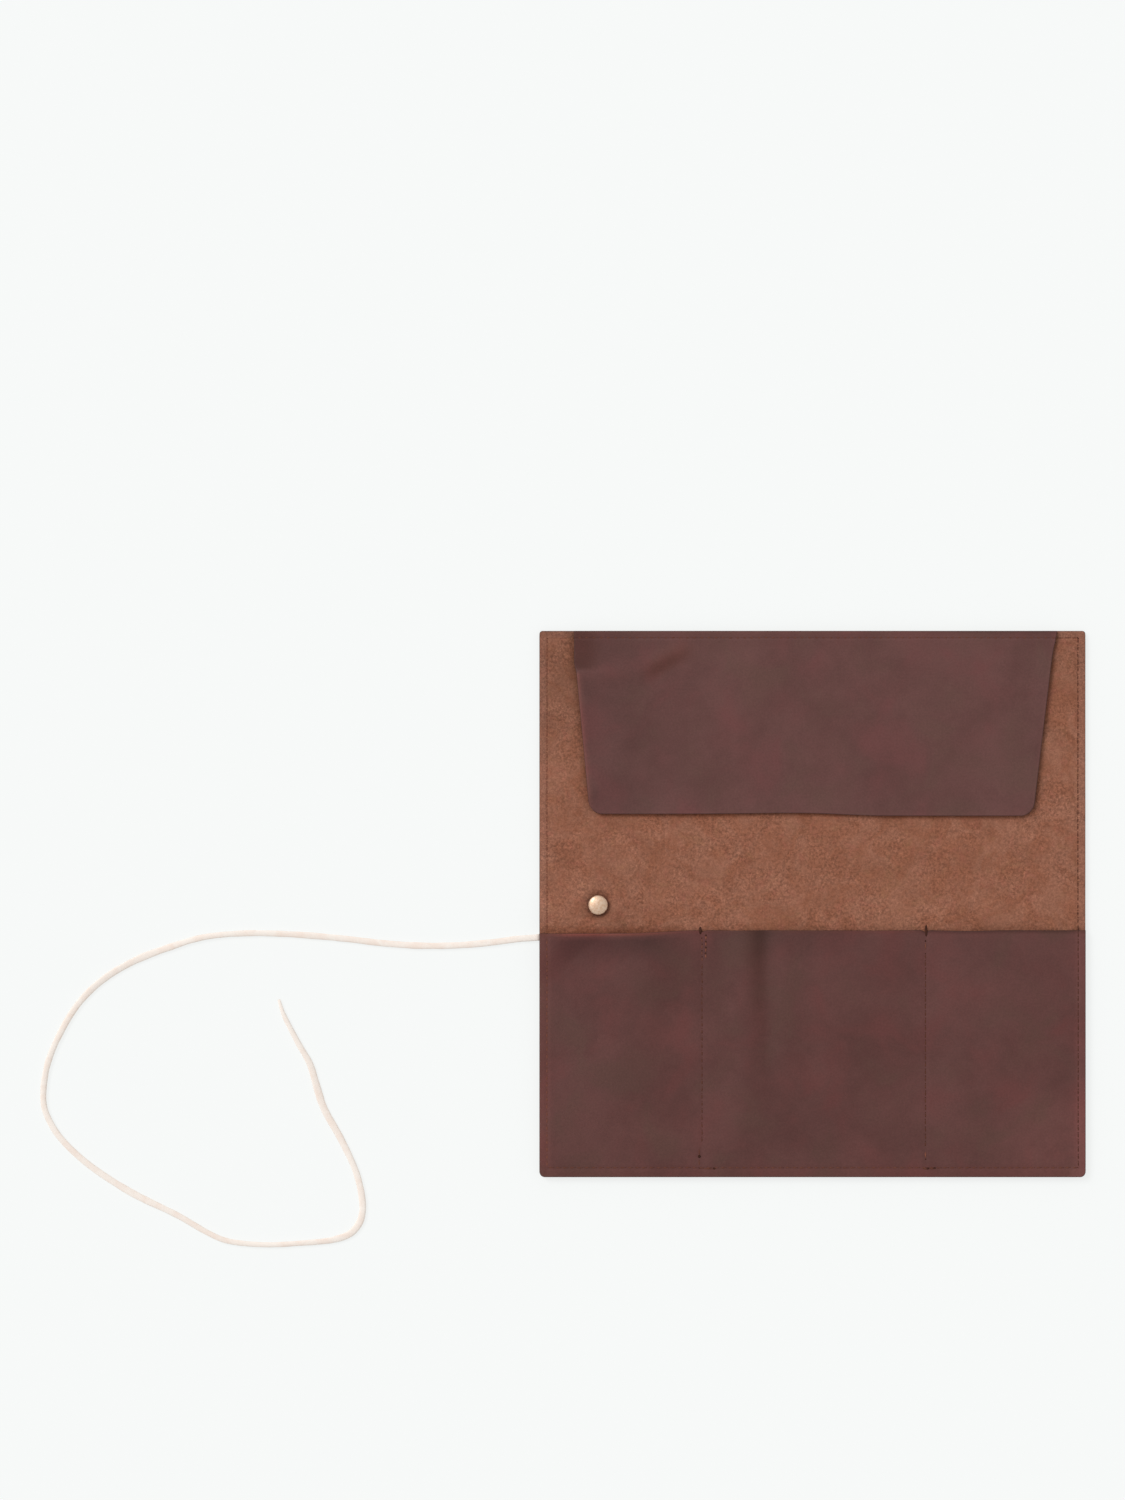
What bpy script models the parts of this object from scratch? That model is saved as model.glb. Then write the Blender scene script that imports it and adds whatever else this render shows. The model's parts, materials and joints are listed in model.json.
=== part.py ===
"""Leather brush roll case: a square panel with three brush pockets, a brush flap and a tie lace.

The flat case lies on the floor, inside up.  The origin is on the floor under the panel's middle,
+X to the right, +Y towards the flap and +Z up.  All lengths are in metres.

Leather bends everywhere, so the case is divided into strips that hinge about lines along Y.  The
strips roll up together from the right.  The flap is divided at the same lines, and it also folds
back about a line along X.
"""
import math

import bmesh
import bpy
from mathutils import Matrix, Vector

MM = 0.001

# Back panel: an outer leather and a suede lining, sewn together round the edge.
PANEL_HALF = 130 * MM
PANEL_TOP_CORNER = 1.5 * MM
PANEL_BOTTOM_CORNER = 2.6 * MM
OUTER_THICKNESS = 1.4 * MM
LINING_THICKNESS = 1.1 * MM
GAP = 0.3 * MM
LINING_Z = OUTER_THICKNESS + GAP
LINING_TOP = LINING_Z + LINING_THICKNESS

# Pockets: one front sheet, sewn at the sides, the bottom and two dividers.
SIDE_SEAM_INSET = 3.6 * MM
BOTTOM_SEAM_INSET = 4.5 * MM
DIVIDER_X = (-52.6 * MM, 53.7 * MM)
POCKET_DEPTH = 117.5 * MM
POCKET_FULLNESS = 4.6 * MM
POCKET_RISE = 30 * MM
FRONT_THICKNESS = 1.3 * MM
FRONT_Z = LINING_TOP + GAP
MOUTH_Y = -PANEL_HALF + POCKET_DEPTH

# Flap: a tapering sheet, sewn down along the top edge.  Its left edge tapers only below a kink.
FLAP_DEPTH = 87.2 * MM
FLAP_LEFT_X = -112.5 * MM
FLAP_RIGHT_X = 115.5 * MM
FLAP_LEFT_TAPER = 6.4 * MM
FLAP_RIGHT_TAPER = 10.5 * MM
FLAP_KINK_Y = 111 * MM
FLAP_CORNER = 6 * MM
FLAP_THICKNESS = 1.3 * MM
FLAP_FOLD_INSET = 4.4 * MM
FLAP_END_Y = PANEL_HALF - FLAP_DEPTH
FOLD_Y = PANEL_HALF - FLAP_FOLD_INSET
FOLD_Z = FRONT_Z + FLAP_THICKNESS + GAP / 2

# Roll-up hinge lines.  The strips share the pockets out evenly, and a hinge line beside a divider
# keeps clear of its stitches.
STRIPS_PER_POCKET = (2, 3, 3)
HINGE_PAST_DIVIDER = 1.2 * MM
HINGE_Z = 7 * MM
ROLL_DEGREES = (62.5, 67.5, 72.5, 77.5, 82.5, 87.5, 92.5)

# Rivet that holds the lace's end against the outside of the panel.
RIVET = Vector((-102.1 * MM, -0.4 * MM, 0))
RIVET_CAP_RADIUS = 4.65 * MM
RIVET_CAP_HEIGHT = 2.2 * MM
RIVET_CAP_RIM = 0.3 * RIVET_CAP_HEIGHT
RIVET_EDGE = 0.2 * MM
DOME_STEPS = 8
RIVET_BASE_RADIUS = 4.6 * MM
RIVET_BASE_HEIGHT = 0.8 * MM
POST_RADIUS = 1.5 * MM
POST_UNDER_CAP_TOP = 0.75 * MM
RING_STEPS = 20
CUTTER_DEPTH = 20 * MM

# Lace: a flat end with a round paddle under the rivet, then a free round thong on the floor.
LACE_DIAMETER = 3.1 * MM
PADDLE_RADIUS = 5.5 * MM
PADDLE_THICKNESS = 1.2 * MM
PADDLE_Z = RIVET_BASE_HEIGHT + GAP
PADDLE_OPENING = math.radians(48)
LACE_EXIT = Vector((-130.2 * MM, -16 * MM, 0))
LACE_SAMPLES = 78
LACE_ROUTE = (
    (-131.3, -16.1), (-141.0, -16.8), (-153.0, -18.4), (-170.0, -19.8), (-187.0, -19.9),
    (-204.0, -18.8), (-221.0, -16.8), (-238.0, -15.2), (-255.0, -14.2), (-272.0, -14.1),
    (-290.0, -15.9), (-306.0, -20.6), (-322.0, -26.7), (-337.0, -35.4), (-349.0, -46.7),
    (-358.0, -61.0), (-364.5, -77.0), (-366.3, -94.0), (-362.5, -105.2), (-355.5, -114.6),
    (-343.0, -125.6), (-324.0, -137.8), (-303.0, -148.1), (-288.0, -156.7), (-277.6, -160.8),
    (-261.0, -162.4), (-244.0, -161.7), (-227.5, -159.9), (-218.3, -155.5), (-214.2, -145.8),
    (-216.8, -129.5), (-224.0, -113.2), (-232.4, -98.0), (-236.0, -87.4), (-239.3, -76.4),
    (-245.0, -66.2), (-251.5, -53.5), (-254.2, -45.6),
)

# The leather is draped over the lace's end: a low ridge from the rivet to the left edge.
DRAPE_HEIGHT = PADDLE_Z + PADDLE_THICKNESS + GAP
DRAPE_CREST = 6 * MM
DRAPE_SLOPE = 16 * MM
DRAPE_LOW_Y = -42 * MM
DRAPE_HIGH_Y = 24 * MM
DRAPED_STRIPS = 2

THREAD_RADIUS = 0.3 * MM
THREAD_CLEAR = GAP + THREAD_RADIUS
OVER_FRONT = FRONT_THICKNESS + THREAD_CLEAR
MOUTH_STEP = 2.5 * GAP

# Spacing of the rows and columns that follow the curved leather.
DRAPE_SPACING = 4 * MM
POCKET_SPACING = 6 * MM
SEAM_SPACING = 6 * MM
DIVIDER_SPACING = 12 * MM
FLAP_SPACING = 16 * MM
CORNER_STEPS = 3
CURVE_STEPS = 16

COLORS = {
    "outer_leather": ((0.13, 0.055, 0.048), 0.5, 0.0),
    "grain_leather": ((0.125, 0.052, 0.045), 0.45, 0.0),
    "suede": ((0.27, 0.115, 0.07), 0.9, 0.0),
    "thread": ((0.055, 0.022, 0.018), 0.8, 0.0),
    "lace_leather": ((0.82, 0.70, 0.58), 0.6, 0.0),
    "brass": ((0.66, 0.47, 0.33), 0.3, 1.0),
}


def new_collection(name):
    """Add an empty collection to the scene."""
    collection = bpy.data.collections.new(name)
    bpy.context.scene.collection.children.link(collection)
    return collection


def make_material(name, color, roughness, metallic):
    """Make one Principled material."""
    material = bpy.data.materials.new(name)
    material.use_nodes = True
    shader = material.node_tree.nodes["Principled BSDF"]
    shader.inputs["Base Color"].default_value = (*color, 1)
    shader.inputs["Roughness"].default_value = roughness
    shader.inputs["Metallic"].default_value = metallic
    return material


def add_body(name, location, parent):
    """Add the empty that carries one moving body, on the body's hinge line."""
    empty = bpy.data.objects.new(name, None)
    empty.empty_display_size = 5 * MM
    part_collection.objects.link(empty)
    if parent is None:
        empty.location = location
    else:
        empty.parent = parent[0]
        empty.location = location - parent[1]
    return empty, location


def add_piece(name, data, material, body):
    """Add a piece modelled in case coordinates, and parent it to its body's empty."""
    empty, origin = body
    data.transform(Matrix.Translation(-origin))
    piece = bpy.data.objects.new(name, data)
    piece.data.materials.append(material)
    piece.parent = empty
    part_collection.objects.link(piece)
    return piece


def smooth_step(value):
    """Ease from 0 to 1."""
    value = min(max(value, 0.0), 1.0)
    return value * value * (3 - 2 * value)


def drape(x, y):
    """Return how far the lace's end lifts the leather at a point."""
    start = RIVET.xy
    along = (LACE_EXIT.xy - start).normalized()
    offset = Vector((x, y)) - start
    forward = max(offset.dot(along), 0.0)
    distance = (offset - along * forward).length
    return DRAPE_HEIGHT * smooth_step(1 - (distance - DRAPE_CREST) / DRAPE_SLOPE)


def pocket_fullness(x, y):
    """Return how far the empty pocket stands open at a point."""
    seams = (-PANEL_HALF + SIDE_SEAM_INSET, *DIVIDER_X, PANEL_HALF - SIDE_SEAM_INSET)
    for left, right in zip(seams, seams[1:]):
        if left <= x <= right:
            across = 1 - abs(2 * (x - left) / (right - left) - 1) ** 3
            rise = (y + PANEL_HALF - BOTTOM_SEAM_INSET) / POCKET_RISE
            return POCKET_FULLNESS * across * math.sin(math.pi / 2 * min(max(rise, 0.0), 1.0))
    return 0.0


def front_height(x, y):
    """Return the underside of the pocket front."""
    return FRONT_Z + max(drape(x, y), pocket_fullness(x, y))


def corner_inset(from_end, radius):
    """Return how far a rounded corner draws the side edge in, near the end of that edge."""
    if from_end >= radius:
        return 0.0
    return radius - math.sqrt(max(radius ** 2 - (radius - from_end) ** 2, 0.0))


def panel_edge(y):
    """Return the panel's half width at y, with its rounded corners."""
    radius = PANEL_TOP_CORNER if y > 0 else PANEL_BOTTOM_CORNER
    return PANEL_HALF - corner_inset(PANEL_HALF - abs(y), radius)


def flap_edges(y):
    """Return the flap's left and right edges at y."""
    inset = corner_inset(y - FLAP_END_Y, FLAP_CORNER)
    below_kink = max(FLAP_KINK_Y - y, 0.0) / (FLAP_KINK_Y - FLAP_END_Y)
    below_top = (PANEL_HALF - y) / FLAP_DEPTH
    left = FLAP_LEFT_X + FLAP_LEFT_TAPER * below_kink + inset
    right = FLAP_RIGHT_X - FLAP_RIGHT_TAPER * below_top - inset
    return left, right


def spaced(start, end, step):
    """Return values from start to end, evenly spaced by about step."""
    count = max(1, round(abs(end - start) / step))
    return [start + (end - start) * i / count for i in range(count + 1)]


def corner_rows(end, direction, radius):
    """Return rows that follow a rounded corner which starts at end."""
    angles = [math.pi / 2 * i / CORNER_STEPS for i in range(CORNER_STEPS + 1)]
    return [end + direction * radius * (1 - math.cos(angle)) for angle in angles]


def sheet_strip(name, x_values, rows, edges, height, thickness, material, body):
    """Make one strip of a leather layer: a lifted grid, made solid upwards.

    edges(y) gives the least and the greatest x allowed in a row, and height(x, y) the underside.
    """
    bm = bmesh.new()
    columns = len(x_values) - 1
    last_row = len(rows) - 1
    bmesh.ops.create_grid(bm, x_segments=columns, y_segments=last_row, size=0.5)
    for vertex in bm.verts:
        column = round((vertex.co.x + 0.5) * columns)
        y = rows[round((vertex.co.y + 0.5) * last_row)]
        low, high = edges(y)
        share = (x_values[column] - x_values[0]) / (x_values[-1] - x_values[0])
        first = max(x_values[0], low)
        x = first + share * (min(x_values[-1], high) - first)
        vertex.co = (x, y, height(x, y))
    raised = bmesh.ops.extrude_face_region(bm, geom=bm.faces[:])["geom"]
    top = [item for item in raised if isinstance(item, bmesh.types.BMVert)]
    bmesh.ops.translate(bm, verts=top, vec=(0, 0, thickness))
    bmesh.ops.recalc_face_normals(bm, faces=bm.faces[:])
    mesh = bpy.data.meshes.new(name)
    bm.to_mesh(mesh)
    bm.free()
    return add_piece(name, mesh, material, body)


def turned_piece(name, profile, material, body, segments=32):
    """Make a turned piece about the rivet's axis from (radius, z) points, outer side first."""
    bm = bmesh.new()
    vertices = [bm.verts.new((radius, 0, z)) for radius, z in profile]
    for first, second in zip(vertices, vertices[1:]):
        bm.edges.new((first, second))
    mesh = bpy.data.meshes.new(name)
    bm.to_mesh(mesh)
    bm.free()
    piece = bpy.data.objects.new(name, mesh)
    mesh.materials.append(material)
    piece.parent = body[0]
    piece.location = RIVET - body[1]
    part_collection.objects.link(piece)
    screw = piece.modifiers.new("Turn", "SCREW")
    screw.steps = segments
    screw.render_steps = segments
    screw.use_merge_vertices = True
    screw.merge_threshold = 0.00001
    screw.use_smooth_shade = True
    return piece


def tube(name, run, radius, resolution, material, body):
    """Make a round tube along a run of points."""
    curve = bpy.data.curves.new(name, "CURVE")
    curve.dimensions = "3D"
    curve.bevel_depth = radius
    curve.bevel_resolution = resolution
    curve.use_fill_caps = True
    spline = curve.splines.new("POLY")
    spline.points.add(len(run) - 1)
    for point, place in zip(spline.points, run):
        point.co = (*place, 1)
    return add_piece(name, curve, material, body)


def smooth_route(points, count):
    """Return count evenly spaced points on a smooth curve through the given ones."""
    padded = [2 * points[0] - points[1], *points, 2 * points[-1] - points[-2]]
    fine = []
    for before, start, end, after in zip(padded, padded[1:], padded[2:], padded[3:]):
        for i in range(CURVE_STEPS):
            t = i / CURVE_STEPS
            fine.append(0.5 * (2 * start + (end - before) * t
                               + (2 * before - 5 * start + 4 * end - after) * t ** 2
                               + (3 * start - before - 3 * end + after) * t ** 3))
    fine.append(points[-1])
    lengths = [0.0]
    for start, end in zip(fine, fine[1:]):
        lengths.append(lengths[-1] + (end - start).length)
    route = []
    index = 0
    for i in range(count):
        target = lengths[-1] * i / (count - 1)
        while index < len(fine) - 2 and lengths[index + 1] < target:
            index += 1
        share = (target - lengths[index]) / (lengths[index + 1] - lengths[index])
        route.append(fine[index].lerp(fine[index + 1], share))
    return route


def hinge_lines():
    """Return the x of every strip boundary, from the left edge to the right edge."""
    stops = [-PANEL_HALF, *[x + HINGE_PAST_DIVIDER for x in DIVIDER_X], PANEL_HALF]
    lines = [-PANEL_HALF]
    for left, right, count in zip(stops, stops[1:], STRIPS_PER_POCKET):
        lines += [left + (right - left) * (i + 1) / count for i in range(count)]
    return lines


def front_clearance(x, degrees):
    """Return how far a pocket front stops short of a hinge line, so that it clears when rolled."""
    above = front_height(x, MOUTH_Y) + FRONT_THICKNESS - HINGE_Z
    return GAP / 2 + max(above, 0.0) * math.tan(math.radians(degrees) / 2)


def x_stations(left, right, step):
    """Return the columns of a strip, with one on each seam that crosses it."""
    seams = (-PANEL_HALF + SIDE_SEAM_INSET, *DIVIDER_X, PANEL_HALF - SIDE_SEAM_INSET)
    values = spaced(left, right, step)
    for seam in seams:
        if left < seam < right:
            nearest = min(values, key=lambda value: abs(value - seam))
            if nearest in (left, right):
                values.append(seam)
            else:
                values[values.index(nearest)] = seam
    return sorted(values)


def bottom_run(left, right):
    """Return the bottom seam's thread run across one strip."""
    y = -PANEL_HALF + BOTTOM_SEAM_INSET
    z = FRONT_Z + OVER_FRONT
    start = max(left, -PANEL_HALF + SIDE_SEAM_INSET + GAP) + GAP
    end = min(right, PANEL_HALF - SIDE_SEAM_INSET - GAP) - GAP
    return [(start, y, z), (end, y, z)]


def side_run(x):
    """Return a side seam's thread run: up the pocket front, then down onto the lining."""
    step_y = MOUTH_Y + MOUTH_STEP
    low_ys = spaced(-PANEL_HALF + SIDE_SEAM_INSET, step_y, SEAM_SPACING)
    high_ys = spaced(step_y + FRONT_THICKNESS + GAP, PANEL_HALF - SIDE_SEAM_INSET, SEAM_SPACING)
    run = [(x, y, front_height(x, y) + OVER_FRONT) for y in low_ys]
    return run + [(x, y, LINING_TOP + drape(x, y) + THREAD_CLEAR) for y in high_ys]


def divider_run(x):
    """Return a divider's thread run, from above the bottom seam to the mouth."""
    start = -PANEL_HALF + BOTTOM_SEAM_INSET + 2 * THREAD_CLEAR
    ys = spaced(start, MOUTH_Y - GAP, DIVIDER_SPACING)
    return [(x, y, front_height(x, y) + OVER_FRONT) for y in ys]


def add_thread(name, run, body):
    """Make one run of sewing thread."""
    return tube(name, run, THREAD_RADIUS, 0, materials["thread"], body)


def lace_end_outline():
    """Return the flat end of the lace: a round paddle that narrows into the strap."""
    along = (LACE_EXIT - RIVET).normalized()
    across = Vector((-along.y, along.x, 0))
    half = LACE_DIAMETER / 2
    outline = []
    for i in range(RING_STEPS + 1):
        angle = PADDLE_OPENING + 2 * (math.pi - PADDLE_OPENING) * i / RING_STEPS
        direction = along * math.cos(angle) + across * math.sin(angle)
        outline.append(RIVET + direction * PADDLE_RADIUS)
    neck = RIVET + along * (2 * PADDLE_RADIUS)
    outline += [neck - across * half, LACE_EXIT - across * half]
    outline += [LACE_EXIT + across * half, neck + across * half]
    return outline


def ring(centre, radius):
    """Return the points of a circle."""
    angles = [2 * math.pi * i / RING_STEPS for i in range(RING_STEPS)]
    return [centre + Vector((math.cos(a), math.sin(a), 0)) * radius for a in angles]


def flat_plate(name, outlines, z, thickness, material, body):
    """Make a flat plate from closed outlines; the second one is a hole."""
    curve = bpy.data.curves.new(name, "CURVE")
    curve.dimensions = "2D"
    curve.fill_mode = "BOTH"
    curve.extrude = thickness / 2
    for outline in outlines:
        spline = curve.splines.new("POLY")
        spline.points.add(len(outline) - 1)
        for point, place in zip(spline.points, outline):
            point.co = (place.x, place.y, 0, 1)
        spline.use_cyclic_u = True
    piece = bpy.data.objects.new(name, curve)
    curve.materials.append(material)
    piece.parent = body[0]
    piece.location = Vector((0, 0, z + thickness / 2)) - body[1]
    part_collection.objects.link(piece)
    return piece


def drill(piece, cutter):
    """Cut the rivet's hole through a piece."""
    cut = piece.modifiers.new("Rivet hole", "BOOLEAN")
    cut.operation = "DIFFERENCE"
    cut.object = cutter
    cut.solver = "EXACT"


def build_bodies():
    """Make the empties: a chain of panel strips, and a chain of flap strips from the first."""
    panels = [add_body("panel_1", Vector((0, 0, 0)), None)]
    flaps = [add_body("flap_1", Vector((0, FOLD_Y, FOLD_Z)), panels[0])]
    for index, x in enumerate(LINES[1:-1], start=2):
        hinge = Vector((x, 0, HINGE_Z))
        panels.append(add_body(f"panel_{index}", hinge, panels[-1]))
        flaps.append(add_body(f"flap_{index}", hinge, flaps[-1]))
    return panels, flaps


def panel_rows(index):
    """Return the rows of a panel strip: close together where it is draped, few elsewhere."""
    rows = []
    if index in (0, STRIP_COUNT - 1):
        rows += corner_rows(-PANEL_HALF, 1, PANEL_BOTTOM_CORNER)
    else:
        rows.append(-PANEL_HALF)
    if index < DRAPED_STRIPS:
        rows += spaced(DRAPE_LOW_Y, DRAPE_HIGH_Y, DRAPE_SPACING)
    if index in (0, STRIP_COUNT - 1):
        rows += reversed(corner_rows(PANEL_HALF, -1, PANEL_TOP_CORNER))
    else:
        rows.append(PANEL_HALF)
    return rows


def front_rows(index):
    """Return the rows of a pocket front strip, from the bottom edge to the mouth."""
    rows = [-PANEL_HALF]
    if index in (0, STRIP_COUNT - 1):
        rows = corner_rows(-PANEL_HALF, 1, PANEL_BOTTOM_CORNER)
    full_y = -PANEL_HALF + POCKET_RISE
    rows += spaced(-PANEL_HALF + BOTTOM_SEAM_INSET, full_y, POCKET_SPACING)
    if index < DRAPED_STRIPS:
        rows += [(full_y + DRAPE_LOW_Y) / 2, *spaced(DRAPE_LOW_Y, MOUTH_Y, DRAPE_SPACING)]
    else:
        rows.append(MOUTH_Y)
    return rows


def build_panel_strip(index, body):
    """Make the outer leather, the lining, the pocket front and the thread of one strip."""
    number = index + 1
    left = LINES[index] + (GAP / 2 if index else 0)
    right = LINES[index + 1] - (GAP / 2 if number < STRIP_COUNT else 0)
    step = DRAPE_SPACING if index < DRAPED_STRIPS else PANEL_HALF
    columns = spaced(left, right, step)
    rows = panel_rows(index)

    def edges(y):
        return -panel_edge(y), panel_edge(y)

    outer = sheet_strip(f"outer_leather_{number}", columns, rows, edges, drape,
                        OUTER_THICKNESS, materials["outer_leather"], body)
    lining = sheet_strip(f"suede_lining_{number}", columns, rows, edges,
                         lambda x, y: LINING_Z + drape(x, y),
                         LINING_THICKNESS, materials["suede"], body)
    front_left = left
    front_right = right
    if index:
        front_left = LINES[index] + front_clearance(LINES[index], ROLL_DEGREES[index - 1])
    if number < STRIP_COUNT:
        front_right = LINES[number] - front_clearance(LINES[number], ROLL_DEGREES[index])
    sheet_strip(f"pocket_front_{number}", x_stations(front_left, front_right, POCKET_SPACING),
                front_rows(index), edges, front_height, FRONT_THICKNESS,
                materials["grain_leather"], body)
    add_thread(f"bottom_stitching_{number}", bottom_run(left, right), body)
    return outer, lining


def build_long_seams(bodies):
    """Make the thread of the two side seams and the two dividers."""
    side_x = PANEL_HALF - SIDE_SEAM_INSET
    add_thread("left_side_stitching", side_run(-side_x), bodies[0])
    add_thread("right_side_stitching", side_run(side_x), bodies[-1])
    left_x, right_x = DIVIDER_X
    left_strip = STRIPS_PER_POCKET[0] - 1
    right_strip = left_strip + STRIPS_PER_POCKET[1]
    add_thread("left_divider_stitching", divider_run(left_x), bodies[left_strip])
    add_thread("right_divider_stitching", divider_run(right_x), bodies[right_strip])


def build_flap_strip(index, panel_body, flap_body):
    """Make one strip of the flap, and of the margin that is sewn down to the panel."""
    number = index + 1
    left = LINES[index] + GAP / 2
    right = LINES[number] - GAP / 2
    margin_rows = [FOLD_Y + GAP / 2, PANEL_HALF]
    flap_rows = [FLAP_END_Y, FOLD_Y - GAP / 2]
    low, high = flap_edges(FLAP_END_Y)
    if left < low or right > high:
        flap_rows = corner_rows(FLAP_END_Y, 1, FLAP_CORNER)
        flap_rows += spaced(FLAP_END_Y + 2 * FLAP_CORNER, FLAP_KINK_Y, FLAP_SPACING)
        flap_rows.append(FOLD_Y - GAP / 2)
        flap_rows = [y for y in flap_rows if flap_edges(y)[1] > left + GAP]

    def level(x, y):
        return FRONT_Z

    for name, rows, body in ((f"flap_margin_{number}", margin_rows, panel_body),
                             (f"flap_leather_{number}", flap_rows, flap_body)):
        sheet_strip(name, [left, right], rows, flap_edges, level, FLAP_THICKNESS,
                    materials["grain_leather"], body)


def build_rivet(body):
    """Make the rivet's post with its base disc, and the domed cap pressed on it."""
    cap_z = LINING_TOP + DRAPE_HEIGHT + GAP
    post_top = cap_z + RIVET_CAP_HEIGHT - POST_UNDER_CAP_TOP
    turned_piece("rivet_post", [
        (0, post_top),
        (POST_RADIUS, post_top),
        (POST_RADIUS, RIVET_BASE_HEIGHT),
        (RIVET_BASE_RADIUS - RIVET_EDGE, RIVET_BASE_HEIGHT),
        (RIVET_BASE_RADIUS, RIVET_BASE_HEIGHT - RIVET_EDGE),
        (RIVET_BASE_RADIUS, RIVET_EDGE),
        (RIVET_BASE_RADIUS - RIVET_EDGE, 0),
        (0, 0),
    ], materials["brass"], body)
    dome = []
    for i in range(DOME_STEPS + 1):
        angle = math.pi / 2 * i / DOME_STEPS
        rise = (RIVET_CAP_HEIGHT - RIVET_CAP_RIM) * math.cos(angle)
        dome.append((RIVET_CAP_RADIUS * math.sin(angle), cap_z + RIVET_CAP_RIM + rise))
    bore_radius = POST_RADIUS + GAP
    bore_top = post_top + GAP
    turned_piece("rivet_cap", [
        *dome,
        (RIVET_CAP_RADIUS, cap_z + RIVET_EDGE),
        (RIVET_CAP_RADIUS - RIVET_EDGE, cap_z),
        (bore_radius, cap_z),
        (bore_radius, bore_top),
        (0, bore_top),
    ], materials["brass"], body)


def build_lace(body):
    """Make the lace's flat end and its free length along the floor."""
    hole = ring(RIVET, POST_RADIUS + GAP)
    flat_plate("tie_lace_end", [lace_end_outline(), hole], PADDLE_Z, PADDLE_THICKNESS,
               materials["lace_leather"], body)
    radius = LACE_DIAMETER / 2
    points = [Vector((x * MM, y * MM, radius)) for x, y in LACE_ROUTE]
    tube("tie_lace", smooth_route(points, LACE_SAMPLES), radius, 2,
         materials["lace_leather"], body)


def build_hole_cutter():
    """Make the cylinder that cuts the rivet's hole, outside the part's collection."""
    bm = bmesh.new()
    bmesh.ops.create_cone(bm, cap_ends=True, segments=RING_STEPS, radius1=POST_RADIUS + GAP,
                          radius2=POST_RADIUS + GAP, depth=CUTTER_DEPTH)
    mesh = bpy.data.meshes.new("rivet_hole_cutter")
    bm.to_mesh(mesh)
    bm.free()
    cutter = bpy.data.objects.new("rivet_hole_cutter", mesh)
    cutter.location = RIVET
    cutter.display_type = "WIRE"
    cutter.hide_render = True
    cutter_collection.objects.link(cutter)
    return cutter


for old in list(bpy.data.objects):
    bpy.data.objects.remove(old, do_unlink=True)

LINES = hinge_lines()
STRIP_COUNT = len(LINES) - 1
part_collection = new_collection("brush_roll_case")
cutter_collection = new_collection("cutters")
materials = {name: make_material(name, *look) for name, look in COLORS.items()}
panel_bodies, flap_bodies = build_bodies()
hole_cutter = build_hole_cutter()
for strip_index, panel_body in enumerate(panel_bodies):
    layers = build_panel_strip(strip_index, panel_body)
    if strip_index == 0:
        for layer in layers:
            drill(layer, hole_cutter)
    build_flap_strip(strip_index, panel_body, flap_bodies[strip_index])
build_long_seams(panel_bodies)
build_rivet(panel_bodies[0])
build_lace(panel_bodies[0])
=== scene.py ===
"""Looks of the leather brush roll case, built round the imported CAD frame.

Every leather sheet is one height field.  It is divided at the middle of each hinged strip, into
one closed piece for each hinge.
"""
import functools
import json
import math

import bmesh
import bpy
import numpy as np
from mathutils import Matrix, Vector


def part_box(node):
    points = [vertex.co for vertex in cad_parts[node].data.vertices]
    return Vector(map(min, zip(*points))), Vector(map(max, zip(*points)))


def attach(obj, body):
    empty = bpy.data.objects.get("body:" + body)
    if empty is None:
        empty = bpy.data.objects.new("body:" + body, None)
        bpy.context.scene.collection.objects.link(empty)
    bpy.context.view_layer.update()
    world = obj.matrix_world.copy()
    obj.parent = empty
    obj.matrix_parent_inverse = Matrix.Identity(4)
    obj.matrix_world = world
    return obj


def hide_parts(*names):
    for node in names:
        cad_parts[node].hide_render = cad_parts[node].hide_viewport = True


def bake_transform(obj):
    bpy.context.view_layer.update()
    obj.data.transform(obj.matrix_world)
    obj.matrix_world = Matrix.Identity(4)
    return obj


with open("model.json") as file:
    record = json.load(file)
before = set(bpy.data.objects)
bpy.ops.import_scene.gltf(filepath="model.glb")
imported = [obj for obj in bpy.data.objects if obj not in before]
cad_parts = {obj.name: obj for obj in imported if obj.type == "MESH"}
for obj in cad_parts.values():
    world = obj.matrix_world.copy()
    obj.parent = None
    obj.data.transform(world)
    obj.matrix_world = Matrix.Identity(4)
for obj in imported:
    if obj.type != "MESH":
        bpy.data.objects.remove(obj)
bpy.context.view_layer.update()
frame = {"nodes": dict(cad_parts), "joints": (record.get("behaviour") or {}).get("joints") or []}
scene = bpy.context.scene
MM = 0.001

# ----- sizes from the frame, in mm
def box(node):
    """Return the least and the greatest corner of a CAD node."""
    return np.array(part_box(node), float) / MM


joints = {joint["name"]: joint for joint in frame["joints"]}
HINGE_X = [joints[f"roll_{i}"]["pos_m"][0] / MM for i in range(1, 8)]
HINGE_COUNT = len(HINGE_X)
FOLD_Y, FOLD_Z = (value / MM for value in joints["flap_fold"]["pos_m"][1:])
PANEL_HALF = box("outer_leather_1")[1][1]
OUTER_TOP = box("outer_leather_4")[1][2]
LINING_TOP = box("suede_lining_4")[1][2]
MOUTH_Y = box("pocket_front_4")[1][1]
(_, FLAP_END_Y, FLAP_BOTTOM), (_, _, FLAP_TOP) = box("flap_leather_4")
RIVET_X, RIVET_Y, _ = box("rivet_cap").mean(axis=0)
(rivet_left, _, RIVET_LOW), (rivet_right, _, RIVET_HIGH) = box("rivet_cap")
RIVET_RADIUS = (rivet_right - rivet_left) / 2
DIVIDER_X = [box(f"{side}_divider_stitching").mean(axis=0)[0] for side in ("left", "right")]

# ----- camera, straight above
VIEW_HEIGHT = 715 * MM
VIEW_CENTRE = (-119 * MM, 73.3 * MM)
LENS = 120
SENSOR = 36

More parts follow.
